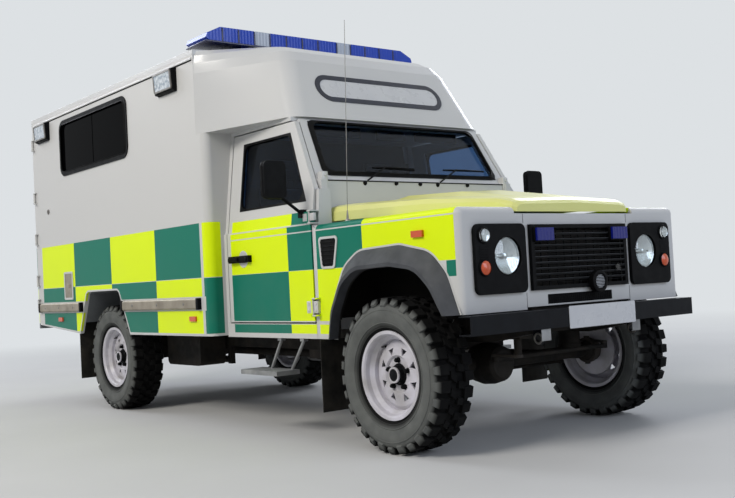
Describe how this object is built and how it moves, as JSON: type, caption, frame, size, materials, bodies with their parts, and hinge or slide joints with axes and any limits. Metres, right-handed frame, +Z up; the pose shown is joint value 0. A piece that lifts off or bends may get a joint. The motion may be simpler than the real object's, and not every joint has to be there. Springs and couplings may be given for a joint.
{
  "type": "ambulance",
  "caption": "Four wheel drive ambulance with a short bonnet, two-door cab, box body with a pod over the cab, roof light bar and chequered side vinyl.",
  "frame": {"origin": "on the ground, below the middle of the vehicle's length and width", "axes": "+X forward, +Y to the vehicle's left, +Z up"},
  "size_m": [5.157, 2.21, 2.5279],
  "materials": {
    "yellow_paint": "gloss",
    "vinyl_yellow": "gloss",
    "white_paint": "gloss",
    "black_trim": "matte",
    "grey_flare": "matte",
    "bumper_steel": "satin",
    "chassis_black": "satin",
    "cast_grey": "satin",
    "bright_steel": "satin",
    "wheel_white": "gloss",
    "tyre_rubber": "matte",
    "flap_rubber": "matte",
    "window_glass": "gloss",
    "lamp_clear": "gloss",
    "lamp_amber": "gloss",
    "lamp_blue": "gloss",
    "rail_alu": "satin",
    "interior_grey": "matte",
    "seat_fabric": "matte",
    "floor_grey": "matte"
  },
  "bodies": {
    "body": {"frame_rails": "chassis_black", "crossmembers": "chassis_black", "front_axle": "chassis_black", "rear_axle": "chassis_black", "suspension": "chassis_black", "engine_and_radiator": "cast_grey", "propshafts": "chassis_black", "exhaust": "bright_steel", "fuel_tank": "chassis_black", "front_bumper": "bumper_steel", "front_wings": "vinyl_yellow", "arch_flares": "grey_flare", "front_panel": "white_paint", "grille": "black_trim", "white_lamps": "lamp_clear", "marker_lamps": "lamp_amber", "blue_lights": "lamp_blue", "bulkhead": "white_paint", "windscreen": "window_glass", "cab_floor": "interior_grey", "cab_roof": "white_paint", "dashboard": "interior_grey", "seats": "seat_fabric", "box_floor": "floor_grey", "box_wall_right": "white_paint", "box_wall_left": "white_paint", "box_front_wall": "white_paint", "box_roof": "white_paint", "pod": "white_paint", "side_windows": "window_glass", "rub_rails": "rail_alu", "mud_flaps": "flap_rubber", "steps": "black_trim"},
    "bonnet": {"bonnet": "yellow_paint"},
    "door_right": {"door_right": "white_paint", "door_glass_right": "window_glass", "mirror_right": "black_trim"},
    "door_left": {"door_left": "white_paint", "door_glass_left": "window_glass", "mirror_left": "black_trim"},
    "rear_door_right": {"rear_door_right": "white_paint", "rear_glass_right": "window_glass"},
    "rear_door_left": {"rear_door_left": "white_paint", "rear_glass_left": "window_glass"},
    "knuckle_right": {"knuckle_right": "cast_grey"},
    "knuckle_left": {"knuckle_left": "cast_grey"},
    "track_rod": {"track_rod": "chassis_black"},
    "drag_link": {"drag_link": "chassis_black"},
    "drop_arm": {"drop_arm": "cast_grey"},
    "steering_wheel": {"steering_wheel": "black_trim"},
    "wheel_front_right": {"wheel_front_right": "wheel_white", "tyre_front_right": "tyre_rubber"},
    "wheel_front_left": {"wheel_front_left": "wheel_white", "tyre_front_left": "tyre_rubber"},
    "wheel_rear_right": {"wheel_rear_right": "wheel_white", "tyre_rear_right": "tyre_rubber"},
    "wheel_rear_left": {"wheel_rear_left": "wheel_white", "tyre_rear_left": "tyre_rubber"}
  },
  "joints": [
    {"name": "bonnet_hinge", "type": "hinge", "parent": "body", "child": "bonnet", "pos_m": [1.3435, 0, 1.33], "axis": [0, -1, 0], "range_deg": [0, 50]},
    {"name": "door_right_hinge", "type": "hinge", "parent": "body", "child": "door_right", "pos_m": [1.3505, -0.852, 1], "axis": [0, 0, 1], "range_deg": [0, 65]},
    {"name": "door_left_hinge", "type": "hinge", "parent": "body", "child": "door_left", "pos_m": [1.3505, 0.852, 1], "axis": [0, 0, -1], "range_deg": [0, 65]},
    {"name": "rear_door_right_hinge", "type": "hinge", "parent": "body", "child": "rear_door_right", "pos_m": [-2.5245, -0.957, 1.4], "axis": [0, 0, 1], "range_deg": [0, 165]},
    {"name": "rear_door_left_hinge", "type": "hinge", "parent": "body", "child": "rear_door_left", "pos_m": [-2.5245, 0.957, 1.4], "axis": [0, 0, -1], "range_deg": [0, 165]},
    {"name": "steer_right", "type": "hinge", "parent": "body", "child": "knuckle_right", "pos_m": [1.9985, -0.64, 0.388], "axis": [0, 0, 1], "range_deg": [-30, 30]},
    {"name": "steer_left", "type": "hinge", "parent": "body", "child": "knuckle_left", "pos_m": [1.9985, 0.64, 0.388], "axis": [0, 0, 1], "range_deg": [-30.5, 30.5]},
    {"name": "track_rod_slide", "type": "slide", "parent": "body", "child": "track_rod", "axis": [0, 1, 0], "range_m": [-0.083, 0.083]},
    {"name": "drag_link_slide", "type": "slide", "parent": "body", "child": "drag_link", "axis": [0, 1, 0], "range_m": [-0.0855, 0.0855]},
    {"name": "drop_arm_hinge", "type": "hinge", "parent": "body", "child": "drop_arm", "pos_m": [2.3335, -0.3, 0.443], "axis": [0, 0, 1], "range_deg": [-30.5, 30.5]},
    {"name": "steering_wheel_turn", "type": "hinge", "parent": "body", "child": "steering_wheel", "pos_m": [0.9906, -0.38, 1.2133], "axis": [-0.8713, 0, 0.4907], "range_deg": [-601, 601]},
    {"name": "wheel_front_right_spin", "type": "hinge", "parent": "knuckle_right", "child": "wheel_front_right", "pos_m": [1.9985, -0.771, 0.388], "axis": [0, 1, 0], "continuous": true},
    {"name": "wheel_front_left_spin", "type": "hinge", "parent": "knuckle_left", "child": "wheel_front_left", "pos_m": [1.9985, 0.771, 0.388], "axis": [0, 1, 0], "continuous": true},
    {"name": "wheel_rear_right_spin", "type": "hinge", "parent": "body", "child": "wheel_rear_right", "pos_m": [-1.2275, -0.771, 0.388], "axis": [0, 1, 0], "continuous": true},
    {"name": "wheel_rear_left_spin", "type": "hinge", "parent": "body", "child": "wheel_rear_left", "pos_m": [-1.2275, 0.771, 0.388], "axis": [0, 1, 0], "continuous": true}
  ],
  "couplings": [
    {"joint": "steer_left", "follows": "steer_right", "ratio": 1},
    {"joint": "track_rod_slide", "follows": "steer_right", "m_per_rad": -0.15756},
    {"joint": "drag_link_slide", "follows": "steer_right", "m_per_rad": 0.16234},
    {"joint": "drop_arm_hinge", "follows": "steer_right", "ratio": -1},
    {"joint": "steering_wheel_turn", "follows": "steer_right", "ratio": 20}
  ]
}
